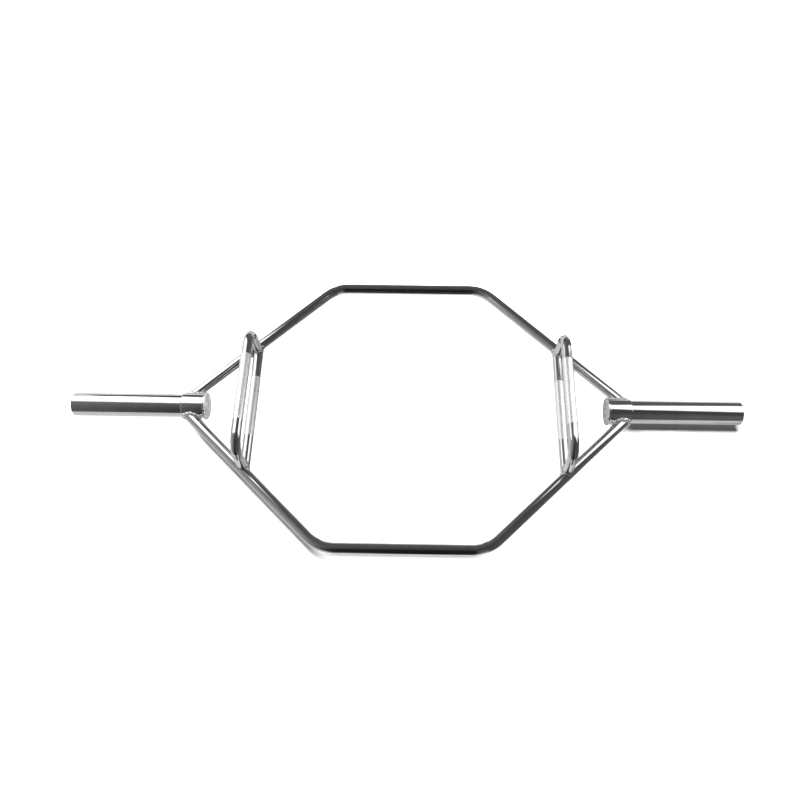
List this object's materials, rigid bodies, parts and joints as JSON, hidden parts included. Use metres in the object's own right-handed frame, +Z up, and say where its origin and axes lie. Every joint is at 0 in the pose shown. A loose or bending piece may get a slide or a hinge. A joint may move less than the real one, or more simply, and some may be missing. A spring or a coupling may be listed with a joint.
{
  "type": "hex trap bar",
  "caption": "Chromed hexagonal trap bar: a bent bar frame the lifter stands inside, plate sleeves on collars at its ends, low grips and raised arch handles, all welded.",
  "frame": {"origin": "on the ground under the middle of the hexagon, at the lowest point of the end discs that the bar rests on", "axes": "+X along the sleeves towards the right-hand sleeve, +Y towards the rear frame rod, +Z up towards the raised handles"},
  "size_m": [1.42, 0.6322, 0.1331],
  "materials": {
    "frame_chrome": "mirror chrome",
    "sleeve_chrome": "mirror chrome",
    "collar_chrome": "mirror chrome",
    "seam_chrome": "mirror chrome",
    "grip_chrome": "chrome with a knurled middle",
    "handle_chrome": "chrome with a knurled middle",
    "disc_steel": "satin plated steel",
    "plug_steel": "satin plated steel",
    "weld_metal": "plated weld bead"
  },
  "bodies": {
    "root": {"front_frame_rod": "frame_chrome", "rear_frame_rod": "frame_chrome", "left_sleeve": "sleeve_chrome", "right_sleeve": "sleeve_chrome", "left_sleeve_plug": "plug_steel", "right_sleeve_plug": "plug_steel", "left_collar": "collar_chrome", "right_collar": "collar_chrome", "left_end_disc": "disc_steel", "right_end_disc": "disc_steel", "left_low_grip": "grip_chrome", "right_low_grip": "grip_chrome", "left_raised_handle": "handle_chrome", "right_raised_handle": "handle_chrome", "left_front_collar_weld": "weld_metal", "left_rear_collar_weld": "weld_metal", "right_front_collar_weld": "weld_metal", "right_rear_collar_weld": "weld_metal", "left_front_grip_weld": "weld_metal", "left_rear_grip_weld": "weld_metal", "right_front_grip_weld": "weld_metal", "right_rear_grip_weld": "weld_metal", "left_front_handle_weld": "weld_metal", "left_rear_handle_weld": "weld_metal", "right_front_handle_weld": "weld_metal", "right_rear_handle_weld": "weld_metal", "left_disc_weld": "weld_metal", "right_disc_weld": "weld_metal", "left_seam_weld": "seam_chrome", "right_seam_weld": "seam_chrome"}
  },
  "joints": []
}
